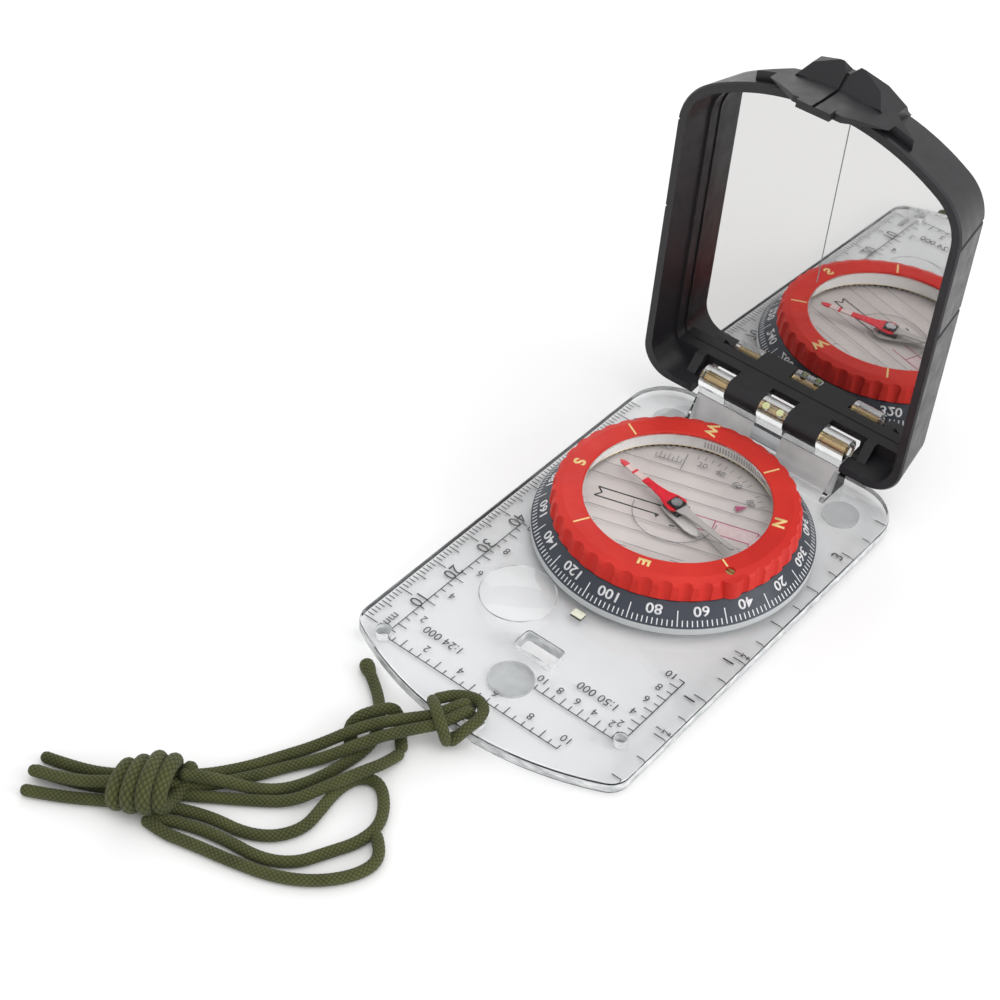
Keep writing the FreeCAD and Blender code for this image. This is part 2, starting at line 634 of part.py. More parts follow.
knot_heading = V(-0.79, -0.61, 0).normalize()
knot_centre = V(-29.9, -103.8, 0)
knot_yaw = math.degrees(math.atan2(knot_heading.x, -knot_heading.y))
wraps = []
wrap_offsets = (-5.1, -1.9, 1.5, 4.7)
wrap_widths = (4.9, 6.0, 6.2, 5.6)
for offset, width in zip(wrap_offsets, wrap_widths):
    place = knot_centre.add(knot_heading * offset)
    place.z = width * 0.62 + 1.3
    wraps.append(knot_wrap(place, width, width * 0.62, 3.6, knot_yaw))
knot = fuse_all(wraps)
save(knot, "lanyard_wrap_knot")
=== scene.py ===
import bpy
import bmesh
import math
from mathutils import Matrix, Vector


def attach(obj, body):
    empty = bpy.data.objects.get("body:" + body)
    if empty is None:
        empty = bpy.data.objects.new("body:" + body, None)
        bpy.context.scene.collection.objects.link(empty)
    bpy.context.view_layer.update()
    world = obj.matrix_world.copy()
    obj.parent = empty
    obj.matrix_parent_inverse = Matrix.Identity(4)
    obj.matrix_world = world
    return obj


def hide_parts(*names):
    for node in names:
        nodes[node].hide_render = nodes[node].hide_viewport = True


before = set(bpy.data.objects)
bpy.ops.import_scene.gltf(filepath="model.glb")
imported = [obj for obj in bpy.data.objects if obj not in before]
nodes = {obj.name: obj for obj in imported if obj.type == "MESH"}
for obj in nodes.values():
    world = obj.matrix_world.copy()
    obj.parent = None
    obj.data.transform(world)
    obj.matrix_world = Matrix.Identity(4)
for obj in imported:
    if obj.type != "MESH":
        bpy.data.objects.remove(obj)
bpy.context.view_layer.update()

MM = 0.001
scene = bpy.context.scene
scene.view_settings.view_transform = "Standard"

# ---------------------------------------------------------------- the compass's own sizes, in millimetres
PLATE_BOTTOM = 0.6
PLATE_HALF_WIDTH = 31.35
NEAR_ARC_RADIUS = 64.0        # the near edge is one wide arc between two small corners
NEAR_ARC_Y = 7.2
NEAR_CORNER_RADIUS = 4.5
FAR_CORNER_RADIUS = 10.0
FAR_CORNER_Y = 39.1
LEFT_HOLE = (-24.8, -48.1)
RIGHT_HOLE = (24.7, -39.5)
DIAL_Y = 10.5
SCALE_RADIUS = 28.25          # outer, lower edge of the dial's bevelled scale
SCALE_LEVEL = 5.3
SCALE_SLOPE = math.atan2(3.4, 3.55)
HINGE_Y, HINGE_Z = 45.2, 12.8
MIRROR_DEPTH = 6.0            # from the hinge axis into the cover
CORD_DIAMETER = 2.2
CORD_REST = 1.15              # height of a cord's middle where it lies on the ground

# headings
NORTH = math.radians(17.2)
NEEDLE_AXIS = math.radians(169.3)
OPEN = math.radians(92.0)
SIGHT = Vector((0.0, -math.cos(OPEN), math.sin(OPEN)))    # up the opened cover
DEPTH = Vector((0.0, math.sin(OPEN), math.cos(OPEN)))     # into the opened cover

# ---------------------------------------------------------------- camera
AZIMUTH, ELEVATION, ROLL = math.radians(36.5225), math.radians(42.7939), math.radians(4.1284)
CAMERA_PLACE = Vector((0.15547, -0.25782, 0.29400))
SENSOR_WIDTH = 36.0
FOCAL_LENGTH = 76.51


def place_camera():
    """Camera looking down on the compass from its near right side, a little rolled."""
    level = math.cos(ELEVATION)
    back = Vector((math.sin(AZIMUTH) * level, -math.cos(AZIMUTH) * level, math.sin(ELEVATION)))
    right = Vector((math.cos(AZIMUTH), math.sin(AZIMUTH), 0.0))
    up = back.cross(right)
    cam_x = math.cos(ROLL) * right + math.sin(ROLL) * up
    cam_y = -math.sin(ROLL) * right + math.cos(ROLL) * up
    camera = bpy.data.objects.new("camera", bpy.data.cameras.new("camera"))
    scene.collection.objects.link(camera)
    camera.data.sensor_width = SENSOR_WIDTH
    camera.data.lens = FOCAL_LENGTH
    camera.data.clip_start = 0.01
    camera.data.clip_end = 20.0
    place = Matrix((cam_x, cam_y, back)).transposed().to_4x4()
    place.translation = CAMERA_PLACE
    camera.matrix_world = place
    scene.camera = camera


place_camera()

# ---------------------------------------------------------------- material helpers
NOISE_ROUGHNESS = 0.55
NOISE_LOW, NOISE_HIGH = 0.3, 0.7      # most of a noise texture's values lie between these


def new_material(name, colour, roughness=0.4, metallic=0.0, **sockets):
    """Principled material with its constants set on the shader itself."""
    mat = bpy.data.materials.new(name)
    mat.use_nodes = True
    shader = mat.node_tree.nodes["Principled BSDF"]
    shader.inputs["Base Color"].default_value = (*colour, 1.0)
    shader.inputs["Roughness"].default_value = roughness
    shader.inputs["Metallic"].default_value = metallic
    for key, value in sockets.items():
        shader.inputs[key.replace("_", " ")].default_value = value
    return mat


def noise(mat, scale, detail=3, stretch=(1, 1, 1)):
    """Noise texture in object space; returns its factor socket."""
    tree = mat.node_tree
    where = tree.nodes.new("ShaderNodeTexCoord")
    mapping = tree.nodes.new("ShaderNodeMapping")
    mapping.inputs["Scale"].default_value = stretch
    tex = tree.nodes.new("ShaderNodeTexNoise")
    tex.inputs["Scale"].default_value = scale
    tex.inputs["Detail"].default_value = detail
    tex.inputs["Roughness"].default_value = NOISE_ROUGHNESS
    tree.links.new(where.outputs["Object"], mapping.inputs["Vector"])
    tree.links.new(mapping.outputs["Vector"], tex.inputs["Vector"])
    return tex.outputs["Fac"]


def colour_mix(mat, factor, dark, light, low=NOISE_LOW, high=NOISE_HIGH):
    """Ramp a factor between two colours into the base colour."""
    tree = mat.node_tree
    ramp = tree.nodes.new("ShaderNodeValToRGB")
    ramp.color_ramp.elements[0].position = low
    ramp.color_ramp.elements[1].position = high
    ramp.color_ramp.elements[0].color = (*dark, 1.0)
    ramp.color_ramp.elements[1].color = (*light, 1.0)
    tree.links.new(factor, ramp.inputs["Fac"])
    tree.links.new(ramp.outputs["Color"], tree.nodes["Principled BSDF"].inputs["Base Color"])


def rough_mix(mat, factor, low_value, high_value):
    """Vary roughness with a factor."""
    tree = mat.node_tree
    ranger = tree.nodes.new("ShaderNodeMapRange")
    ranger.inputs["From Min"].default_value = NOISE_LOW
    ranger.inputs["From Max"].default_value = NOISE_HIGH
    ranger.inputs["To Min"].default_value = low_value
    ranger.inputs["To Max"].default_value = high_value
    tree.links.new(factor, ranger.inputs["Value"])
    tree.links.new(ranger.outputs["Result"], tree.nodes["Principled BSDF"].inputs["Roughness"])


def bump(mat, height, strength, distance):
    """Add a bump from a height socket, chained on any bump already there."""
    tree = mat.node_tree
    shader = tree.nodes["Principled BSDF"]
    node = tree.nodes.new("ShaderNodeBump")
    node.inputs["Strength"].default_value = strength
    node.inputs["Distance"].default_value = distance
    if shader.inputs["Normal"].is_linked:
        tree.links.new(shader.inputs["Normal"].links[0].from_socket, node.inputs["Normal"])
    tree.links.new(height, node.inputs["Height"])
    tree.links.new(node.outputs["Normal"], shader.inputs["Normal"])


def see_through(mat, tint):
    """Let lamp rays pass a clear material, so that what lies behind it is lit."""
    tree = mat.node_tree
    shader = tree.nodes["Principled BSDF"]
    out = tree.nodes["Material Output"]
    path = tree.nodes.new("ShaderNodeLightPath")
    clear = tree.nodes.new("ShaderNodeBsdfTransparent")
    clear.inputs["Color"].default_value = (*tint, 1.0)
    mix = tree.nodes.new("ShaderNodeMixShader")
    tree.links.new(path.outputs["Is Shadow Ray"], mix.inputs[0])
    tree.links.new(shader.outputs["BSDF"], mix.inputs[1])
    tree.links.new(clear.outputs["BSDF"], mix.inputs[2])
    tree.links.new(mix.outputs["Shader"], out.inputs["Surface"])


def zone(mat, direction, low, high, inside):
    """Change the base colour to another one where the distance along a direction passes a level."""
    tree = mat.node_tree
    shader = tree.nodes["Principled BSDF"]
    where = tree.nodes.new("ShaderNodeTexCoord")
    dot = tree.nodes.new("ShaderNodeVectorMath")
    dot.operation = "DOT_PRODUCT"
    dot.inputs[1].default_value = direction
    tree.links.new(where.outputs["Object"], dot.inputs[0])
    ramp = tree.nodes.new("ShaderNodeMapRange")
    ramp.inputs["From Min"].default_value = low
    ramp.inputs["From Max"].default_value = high
    tree.links.new(dot.outputs["Value"], ramp.inputs["Value"])
    blend = tree.nodes.new("ShaderNodeMix")
    blend.data_type = "RGBA"
    tree.links.new(ramp.outputs["Result"], blend.inputs[0])
    old = shader.inputs["Base Color"]
    if old.is_linked:
        tree.links.new(old.links[0].from_socket, blend.inputs[6])
    else:
        blend.inputs[6].default_value = old.default_value
    blend.inputs[7].default_value = (*inside, 1.0)
    tree.links.new(blend.outputs[2], old)


def moulded(name, dark, light, roughness, **sockets):
    """Moulded plastic: fine spark texture, slow colour drift and uneven gloss."""
    mat = new_material(name, light, roughness, **sockets)
    colour_mix(mat, noise(mat, 60, 4), dark, light)
    rough_mix(mat, noise(mat, 300), roughness * 0.85, roughness * 1.2)
    bump(mat, noise(mat, 1400, 2), 0.12, 0.00006)
    return mat


def mottled(name, colour, roughness, scale, dark, light, detail=3, **sockets):
    """Paint, ink or frosted surface whose colour drifts between two tones."""
    mat = new_material(name, colour, roughness, **sockets)
    colour_mix(mat, noise(mat, scale, detail), dark, light)
    return mat


def clear_moulding(name, colour, roughness, ior, ripple_scale, ripple, ripple_depth, lamp_tint):
    """Clear moulding with a faint ripple in its faces."""
    mat = new_material(name, colour, roughness, Transmission_Weight=1.0, IOR=ior)
    bump(mat, noise(mat, ripple_scale, 2), ripple, ripple_depth)
    see_through(mat, lamp_tint)
    return mat


def new_piece(name, mesh, mat, body, replaced=None):
    """Visible piece with a finished mesh, riding on a body."""
    mesh.materials.append(mat)
    obj = bpy.data.objects.new(name, mesh)
    scene.collection.objects.link(obj)
    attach(obj, body)
    if replaced:
        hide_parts(replaced)
    return obj


# ---------------------------------------------------------------- cords
def cord_material():
    """Olive braid: crossed strands of fine fibre, drawn on the cord's own running coordinates, with painted
    shade in the grooves between the strands.
    """
    mat = new_material("braided_cord", (0.1, 0.1, 0.05), 0.75, Sheen_Weight=0.10, Sheen_Roughness=0.5,
                       Specular_IOR_Level=0.2)
    tree = mat.node_tree
    uv = tree.nodes.new("ShaderNodeUVMap")
    uv.uv_map = "braid"
    split = tree.nodes.new("ShaderNodeSeparateXYZ")
    tree.links.new(uv.outputs["UV"], split.inputs["Vector"])

    def calc(kind, a, b=None):
        node = tree.nodes.new("ShaderNodeMath")
        node.operation = kind
        for i, value in enumerate((a, b)):
            if value is None:
                continue
            if isinstance(value, (int, float)):
                node.inputs[i].default_value = value
            else:
                tree.links.new(value, node.inputs[i])
        return node.outputs[0]

    u, v = split.outputs["X"], split.outputs["Y"]
    one = calc("SINE", calc("MULTIPLY", calc("ADD", u, v), math.pi))
    two = calc("SINE", calc("MULTIPLY", calc("SUBTRACT", u, v), math.pi))
    cell = calc("ABSOLUTE", calc("MULTIPLY", one, two))
    lay = calc("ADD", calc("MULTIPLY", u, 9.0), calc("MULTIPLY", v, 2.0))
    fibre = calc("SINE", calc("MULTIPLY", lay, math.pi))
    wide = noise(mat, 170, 3)
    height = calc("ADD", calc("POWER", cell, 0.5), calc("MULTIPLY", fibre, 0.05))
    # painted shade: the colour darkens in the grooves between the plaits, where the cell is low; the wide
    # noise adds random tone
    tone = calc("ADD", calc("MULTIPLY", calc("POWER", cell, 0.6), 0.6), calc("MULTIPLY", wide, 0.55))
    colour_mix(mat, tone, (0.015, 0.018, 0.006), (0.100, 0.108, 0.036), 0.12, 0.95)
    bump(mat, height, 0.55, 0.00022)
    bump(mat, noise(mat, 5200, 2), 0.25, 0.00005)
    return mat


CORD_MAT = cord_material()
CORD_STEPS_PER_MM = 6.0
AROUND = 28                   # points round a cord
PLAITS = 8                    # plait cells round a cord
KNOB_LENGTH = 3.4 * MM


def nurbs_points(name, route):
    """Centreline of a NURBS curve through the route's control points, as close points."""
    curve = bpy.data.curves.new(name + "_line", "CURVE")
    curve.dimensions = "3D"
    curve.resolution_u = 24
    spline = curve.splines.new("NURBS")
    spline.points.add(len(route) - 1)
    for point, co in zip(spline.points, route):
        point.co = (co[0] * MM, co[1] * MM, co[2] * MM, 1.0)
    spline.order_u = 3
    spline.use_endpoint_u = True
    holder = bpy.data.objects.new(name + "_line", curve)
    scene.collection.objects.link(holder)
    bpy.context.view_layer.update()
    mesh = bpy.data.meshes.new_from_object(holder.evaluated_get(bpy.context.evaluated_depsgraph_get()))
    raw = [v.co.copy() for v in mesh.vertices]
    bpy.data.objects.remove(holder)
    bpy.data.meshes.remove(mesh)
    total = sum((b - a).length for a, b in zip(raw, raw[1:]))
    count = max(12, int(total / MM * CORD_STEPS_PER_MM))
    step = total / count
    points = [raw[0]]
    travelled = 0.0
    for a, b in zip(raw, raw[1:]):
        seg = (b - a).length
        while seg > 0 and travelled + seg >= step * len(points) and len(points) < count:
            t = (step * len(points) - travelled) / seg
            points.append(a.lerp(b, t))
        travelled += seg
    points.append(raw[-1])
    return points, total


def end_scale(distance, radius):
    """Share of the full radius that a rounded end has, at a distance from its tip."""
    if distance >= radius:
        return 1.0
    return math.sqrt(max(0.0, 1 - (1 - distance / radius) ** 2)) * 0.94 + 0.06


def braid_relief(u, v):
    """Height of the plait at a place on the cord, as a share of its radius."""
    cell = abs(math.sin(math.pi * (u + v)) * math.sin(math.pi * (u - v)))
    return (math.sqrt(cell) - 0.75) * 0.075


def tube_mesh(name, points, radius, knob=0.0):
    """Braided tube round a line of points, with rounded ends; knob swells the last end."""
    lengths = [0.0]
    for a, b in zip(points, points[1:]):
        lengths.append(lengths[-1] + (b - a).length)
    total = lengths[-1]
    pitch = 2 * math.pi * radius / PLAITS * 1.05
    along = [length / pitch for length in lengths]
    tangent = (points[1] - points[0]).normalized()
    side = tangent.cross(Vector((0, 0, 1)))
    if side.length < 0.1:
        side = tangent.cross(Vector((1, 0, 0)))
    side.normalize()
    bm = bmesh.new()
    layer = bm.loops.layers.uv.new("braid")
    rings = []
    for i, p in enumerate(points):
        t = (points[min(i + 1, len(points) - 1)] - points[max(i - 1, 0)]).normalized()
        side = (side - t * side.dot(t)).normalized()
        other = t.cross(side)
        to_end = total - lengths[i]
        swell = min(end_scale(lengths[i], radius), end_scale(to_end, radius))
        if knob and to_end < KNOB_LENGTH:
            swell *= 1.0 + knob * math.sin(math.pi * to_end / KNOB_LENGTH) ** 0.7
        ring = []
        for j in range(AROUND):
            a = 2 * math.pi * j / AROUND
            r = radius * swell * (1.0 + braid_relief(along[i], PLAITS * j / AROUND))
            ring.append(bm.verts.new(p + (side * math.cos(a) + other * math.sin(a)) * r))
        rings.append(ring)
    for i in range(len(rings) - 1):
        for j in range(AROUND):
            k = (j + 1) % AROUND
            face = bm.faces.new((rings[i][j], rings[i][k], rings[i + 1][k], rings[i + 1][j]))
            v0, v1 = PLAITS * j / AROUND, PLAITS * (j + 1) / AROUND
            uvs = ((along[i], v0), (along[i], v1), (along[i + 1], v1), (along[i + 1], v0))
            for loop, value in zip(face.loops, uvs):
                loop[layer].uv = value
    for ring, flip in ((rings[0], True), (rings[-1], False)):
        hub = bm.verts.new(sum((v.co for v in ring), Vector()) / AROUND)
        for j in range(AROUND):
            k = (j + 1) % AROUND
            bm.faces.new((ring[k], ring[j], hub) if flip else (ring[j], ring[k], hub))
    for face in bm.faces:
        face.smooth = True
    bm.normal_update()
    mesh = bpy.data.meshes.new(name)
    bm.to_mesh(mesh)
    bm.free()
    return mesh


def lying(pairs):
    """Route points in millimetres, on the ground unless lifted."""
    return [(p[0], p[1], p[2] if len(p) > 2 else CORD_REST) for p in pairs]


routes = {
    "a": [(-2.6, -58.4, 4.8), (-7.6, -64.6, 4.9), (-11.2, -69.2, 4.3), (-16.0, -76.4, 1.3),
          (-19.0, -82.2), (-21.9, -88.2), (-26.6, -95.4, 1.6), (-31.8, -100.4, 2.6),
          (-37.2, -104.4, 1.4), (-43.6, -107.9), (-50.6, -110.1)],
    "b": [(-0.6, -59.2, 4.7), (-5.2, -66.2, 4.9), (-8.3, -70.9, 4.2), (-13.0, -77.6, 1.35),
          (-16.2, -82.4), (-19.7, -88.9), (-24.9, -97.0, 1.3), (-29.6, -101.4, 3.4),
          (-34.3, -106.2, 3.7), (-41.0, -111.6, 3.15), (-48.6, -114.6, 3.1)],
    "c": [(-3.6, -67.0, 1.2), (-3.4, -71.2, 2.2), (-4.6, -76.4, 3.5), (-7.7, -83.0, 2.6),
          (-10.6, -88.6, 1.3), (-16.3, -93.0), (-22.4, -97.4), (-29.0, -102.4, 1.3),
          (-35.4, -106.6), (-42.2, -110.8), (-49.6, -113.2)],
    "d": [(-27.3, -98.9, 4.9), (-22.2, -94.6, 3.7), (-17.6, -91.2, 1.6), (-13.4, -87.4), (-10.7, -81.8),
          (-9.4, -75.6), (-8.8, -69.6), (-10.9, -65.0), (-14.2, -61.0), (-18.4, -57.8), (-23.4, -55.0, 1.5)],
    "e": [(-27.0, -107.2, 1.2), (-21.2, -104.0), (-14.0, -101.9), (-6.0, -100.9), (-0.9, -97.6), (1.6, -92.4),
          (4.2, -87.2), (4.5, -82.0), (1.7, -77.5), (-2.2, -74.7), (-5.6, -76.4), (-6.5, -81.0),
          (-5.6, -86.2), (-4.9, -91.0), (-7.3, -95.8), (-12.0, -98.8), (-18.2, -99.9), (-24.6, -102.6),
          (-30.2, -106.4, 1.3), (-35.6, -110.2), (-41.6, -114.4), (-47.6, -117.6)],
    "f": [(4.9, -83.6), (7.6, -85.4), (9.5, -88.6), (8.2, -93.2), (4.2, -98.2), (-1.6, -102.0),
          (-9.2, -104.4), (-17.0, -106.3), (-22.6, -108.0), (-27.2, -107.9)],
}
KNOB_SWELL = {"d": 0.31}
cords = {}
cord_lines = {}
for key, route in routes.items():
    name = "cord_strand_" + key
    points, length = nurbs_points(name, lying(route))
    mesh = tube_mesh(name, points, CORD_DIAMETER * MM / 2, KNOB_SWELL.get(key, 0.0))
    cords[key] = new_piece(name, mesh, CORD_MAT, "base", "lanyard_strand_" + key)
    cord_lines[key] = (points, length)


def knot_piece(name, routes_mm, radius, replaced):
    """Knotted cord drawn as braided runs along its own routes, in one mesh."""
    bm = bmesh.new()
    for i, route in enumerate(routes_mm):
        points, _ = nurbs_points(name + str(i), route)
        run = tube_mesh(name + "_" + str(i), points, radius)
        bm.from_mesh(run)
        bpy.data.meshes.remove(run)
    mesh = bpy.data.meshes.new(name)
    bm.to_mesh(mesh)
    bm.free()
    return new_piece(name, mesh, CORD_MAT, "base", replaced)


# the fold and the knot are drawn a little thicker than the free cord
FOLD_RADIUS = 1.15 * MM
WRAP_RADIUS = 1.42 * MM
hitch = knot_piece("cord_hitch", [
    [(-5.6, -56.4, 4.9), (-4.4, -54.0, 4.8), (-2.6, -52.0, 4.8), (0.3, -50.6, 4.8), (2.8, -51.6, 4.75),
     (3.6, -54.4, 4.7), (3.2, -57.4, 4.5), (2.4, -59.6, 3.0), (1.4, -59.4, 1.5), (0.9, -57.0, 1.15)],
    [(-5.8, -56.2, 4.7), (-5.0, -57.2, 5.8), (-3.4, -58.4, 6.7), (-1.2, -60.0, 6.8), (0.8, -61.0, 5.2),
     (1.4, -60.9, 3.2), (1.2, -60.0, 1.6)],
    [(-0.4, -52.4, 1.6), (-0.5, -52.3, 4.2), (-0.9, -53.6, 5.1), (-2.0, -56.6, 4.9), (-3.4, -59.4, 4.85)],
    [(1.2, -53.4, 1.8), (1.0, -53.4, 4.4), (0.6, -55.0, 5.0), (-0.2, -57.6, 4.8), (-1.4, -60.2, 4.75)],
], CORD_DIAMETER * MM / 2, "lanyard_hitch")

fold = knot_piece("cord_gather_fold", [
    [(-3.6, -67.0, 1.25), (-6.6, -64.0, 1.25), (-9.2, -61.4, 2.0), (-10.4, -62.0, 4.0), (-12.2, -65.0, 4.0),
     (-13.8, -67.4, 3.4), (-14.4, -69.4, 1.5), (-12.2, -70.6, 1.25), (-11.8, -72.6, 1.25)],
], FOLD_RADIUS, "lanyard_gather_fold")


def wrapped_knot():
    """Big knot: one cord wound four times round the bundle, each turn leaning a little."""
    centre = Vector((-29.9, -103.8, 0.0))
    forward = Vector((-0.79, -0.61, 0)).normalized()
    sideways = Vector((0.61, -0.79, 0)).normalized()
    turns, first_angle = 4.15, 2.4
    knot_start, knot_length = -5.6, 11.0
    lean_reach, flatness, lowest = 1.5, 0.66, 1.5
    steps = int(turns * 14)
    route = []
    for i in range(steps + 1):
        t = i / steps
        a = 2 * math.pi * turns * t + first_angle
        width = 3.8 + 1.25 * math.sin(math.pi * min(1, t * 1.15))
        along = knot_start + knot_length * t + lean_reach * math.cos(a)
        p = centre + forward * along + sideways * (width * math.cos(a))
        p.z = lowest + flatness * width * (1 + math.sin(a))
        route.append(tuple(p))
    return route


knot = knot_piece("cord_wrap_knot", [wrapped_knot()], WRAP_RADIUS, "lanyard_wrap_knot")

for key, obj in cords.items():
    points, length = cord_lines[key]
    extra = [hitch, fold, knot] if key == "a" else []

# ---------------------------------------------------------------- materials of the CAD nodes
CLEAR = clear_moulding("clear_acrylic", (0.88, 0.885, 0.89), 0.02, 1.42, 35, 0.03, 0.0002,
                       (0.95, 0.955, 0.96))
CAPSULE = clear_moulding("capsule_clear", (0.985, 0.985, 0.985), 0.02, 1.04, 50, 0.03, 0.0001,
                         (0.99, 0.985, 0.98))
WINDOW = clear_moulding("capsule_window", (0.985, 0.985, 0.985), 0.015, 1.12, 40, 0.02, 0.0001,
                        (0.99, 0.99, 0.99))
RUBBER_CLEAR = mottled("clear_rubber", (0.86, 0.88, 0.88), 0.3, 260, (0.80, 0.82, 0.82), (0.95, 0.96, 0.96),
                       Alpha=0.45)
bump(RUBBER_CLEAR, noise(RUBBER_CLEAR, 700, 2), 0.1, 0.00005)
BLACK = moulded("black_plastic", (0.0165, 0.0155, 0.0175), (0.0215, 0.0205, 0.0235), 0.38,
                Specular_IOR_Level=0.35)
FROSTED_DISC = mottled("frosted_disc", (0.78, 0.71, 0.69), 0.35, 45, (0.70, 0.635, 0.61),
                       (0.84, 0.775, 0.755), Alpha=0.85)
POINTER = mottled("pointer_white", (0.62, 0.60, 0.58), 0.35, 350, (0.54, 0.52, 0.50), (0.66, 0.64, 0.62))
NAVY = moulded("dial_black", (0.022, 0.028, 0.042), (0.034, 0.042, 0.060), 0.42)
zone(NAVY, (0, 0, -1), -5.18 * MM, -5.08 * MM, (0.60, 0.62, 0.63))      # pale flange below the scale
RED = moulded("red_bezel", (0.56, 0.020, 0.014), (0.70, 0.034, 0.022), 0.48, Specular_IOR_Level=0.3)
RUBBER = moulded("black_rubber", (0.012, 0.012, 0.012), (0.02, 0.02, 0.02), 0.7)
FOAM = moulded("foam_pad", (0.02, 0.02, 0.02), (0.04, 0.04, 0.04), 0.85)
MIRROR = new_material("mirror_glass", (0.72, 0.715, 0.71), 0.015, 1.0)
bump(MIRROR, noise(MIRROR, 18, 1), 0.012, 0.0004)
rough_mix(MIRROR, noise(MIRROR, 220, 4), 0.012, 0.035)
BRASS = new_material("brass_pin", (0.80, 0.60, 0.28), 0.22, 1.0)
rough_mix(BRASS, noise(BRASS, 700, 3, stretch=(0.05, 1, 1)), 0.16, 0.34)
STEEL = new_material("pivot_steel", (0.62, 0.62, 0.64), 0.25, 1.0)
rough_mix(STEEL, noise(STEEL, 900, 3), 0.2, 0.4)
SILVER = new_material("silver_ring", (0.98, 0.965, 0.95), 0.28, 0.0)
rough_mix(SILVER, noise(SILVER, 500, 3), 0.24, 0.46)
bump(SILVER, noise(SILVER, 1500, 2), 0.1, 0.00005)
GLOW = mottled("luminous", (0.80, 0.84, 0.42), 0.5, 900, (0.66, 0.72, 0.32), (0.88, 0.90, 0.55),
               Subsurface_Weight=0.25, Subsurface_Radius=(0.0006, 0.0006, 0.0003))
INDEX = mottled("luminous_pale", (0.80, 0.82, 0.66), 0.5, 900, (0.72, 0.75, 0.58), (0.86, 0.87, 0.74))
MAGNET = moulded("magnet_black", (0.01, 0.01, 0.011), (0.022, 0.022, 0.024), 0.35)


def needle_paint():
    """Red north half with two pale bars, and a pale south half."""
    fade = 0.15 * MM
    mat = mottled("needle_paint", (0.70, 0.015, 0.03), 0.3, 700, (0.58, 0.010, 0.022), (0.74, 0.020, 0.040))
    along = (math.cos(NEEDLE_AXIS), math.sin(NEEDLE_AXIS), 0)
    pivot = math.sin(NEEDLE_AXIS) * DIAL_Y * MM
    for start, stop in ((9.1, 11.6), (12.2, 14.2)):
        zone(mat, along, pivot + start * MM, pivot + start * MM + fade, (0.66, 0.52, 0.50))
        zone(mat, along, pivot + stop * MM, pivot + stop * MM + fade, (0.66, 0.014, 0.03))
    behind = tuple(-c for c in along)
    zone(mat, behind, -pivot + 1.2 * MM, -pivot + 1.2 * MM + fade, (0.42, 0.395, 0.385))
    return mat


FINISHES = {
    "base_plate": CLEAR,
    "near_rubber_foot": RUBBER_CLEAR,
    "far_rubber_feet": RUBBER_CLEAR,
    "luminous_index_mark": INDEX,
    "hinge_luminous_beads": GLOW,
    "hinge_pin": BRASS,
    "cover_shell": BLACK,
    "sighting_mirror": MIRROR,
    "mirror_adhesive_pad": FOAM,
    "degree_dial": NAVY,
    "dial_retaining_ring": CLEAR,
    "dial_friction_ring": RUBBER,
    "bezel_grip_ring": RED,
    "capsule_cup": CAPSULE,
    "capsule_window": WINDOW,
    "capsule_inner_ring": SILVER,
    "pivot_post": STEEL,
    "orienting_disc": FROSTED_DISC,
    "declination_screw": BRASS,
    "clinometer_pointer": POINTER,
    "compass_needle": needle_paint(),
    "needle_magnet": MAGNET,
    "needle_jewel_cap": STEEL,
}
for node_name, mat in FINISHES.items():
    mesh = nodes[node_name].data
    mesh.materials.clear()
    mesh.materials.append(mat)

# ---------------------------------------------------------------- inks, in fine uneven coats
INK_BLACK = mottled("ink_black", (0.035, 0.035, 0.04), 0.6, 2500, (0.02, 0.02, 0.022), (0.07, 0.07, 0.075))
INK_WHITE = mottled("ink_white", (0.78, 0.80, 0.82), 0.5, 2500, (0.62, 0.64, 0.67), (0.86, 0.87, 0.88))
INK_GOLD = mottled("ink_gold", (0.86, 0.62, 0.25), 0.45, 2500, (0.78, 0.52, 0.18), (0.92, 0.72, 0.34))
INK_PINK = mottled("ink_pink", (0.50, 0.09, 0.19), 0.6, 2500, (0.40, 0.07, 0.15), (0.58, 0.14, 0.26))
PINK_FILL = mottled("pink_fill", (0.80, 0.62, 0.62), 0.5, 900, (0.74, 0.56, 0.56), (0.84, 0.68, 0.68))
INK_GREY = mottled("ink_grey", (0.22, 0.22, 0.23), 0.6, 2500, (0.16, 0.16, 0.17), (0.30, 0.30, 0.31))

# ---------------------------------------------------------------- painted light on the clear edges, painted shade on the rims, and linings
# painted light: grey and white streaks on the clear plate's edges and hole walls stand in for light refracted
# through them
EDGE_LIGHT = new_material("edge_painted_light", (0.72, 0.74, 0.75), 0.45)
colour_mix(EDGE_LIGHT, noise(EDGE_LIGHT, 420, 5, stretch=(1, 1, 3)), (0.38, 0.40, 0.41), (0.88, 0.89, 0.90))
bump(EDGE_LIGHT, noise(EDGE_LIGHT, 600), 0.3, 0.0001)
TEETH = mottled("ring_teeth", (0.56, 0.54, 0.52), 0.4, 900, (0.48, 0.46, 0.44), (0.64, 0.62, 0.60))
HAZE = mottled("riser_haze", (0.74, 0.75, 0.75), 0.3, 90, (0.62, 0.63, 0.63), (0.86, 0.87, 0.87), 4,
               Alpha=0.75)
# painted shade and glints: a grey ring, darker and lighter in patches, stands in for how the clear edges of
# the lens and the foot bend the light
RIM_SHADE = new_material("rim_painted_shade", (0.45, 0.46, 0.47), 0.35)
colour_mix(RIM_SHADE, noise(RIM_SHADE, 160, 4), (0.20, 0.21, 0.22), (0.80, 0.81, 0.82), 0.35, 0.6)
LINING = mottled("pale_lining", (0.80, 0.79, 0.77), 0.5, 300, (0.66, 0.65, 0.63), (0.84, 0.83, 0.81))


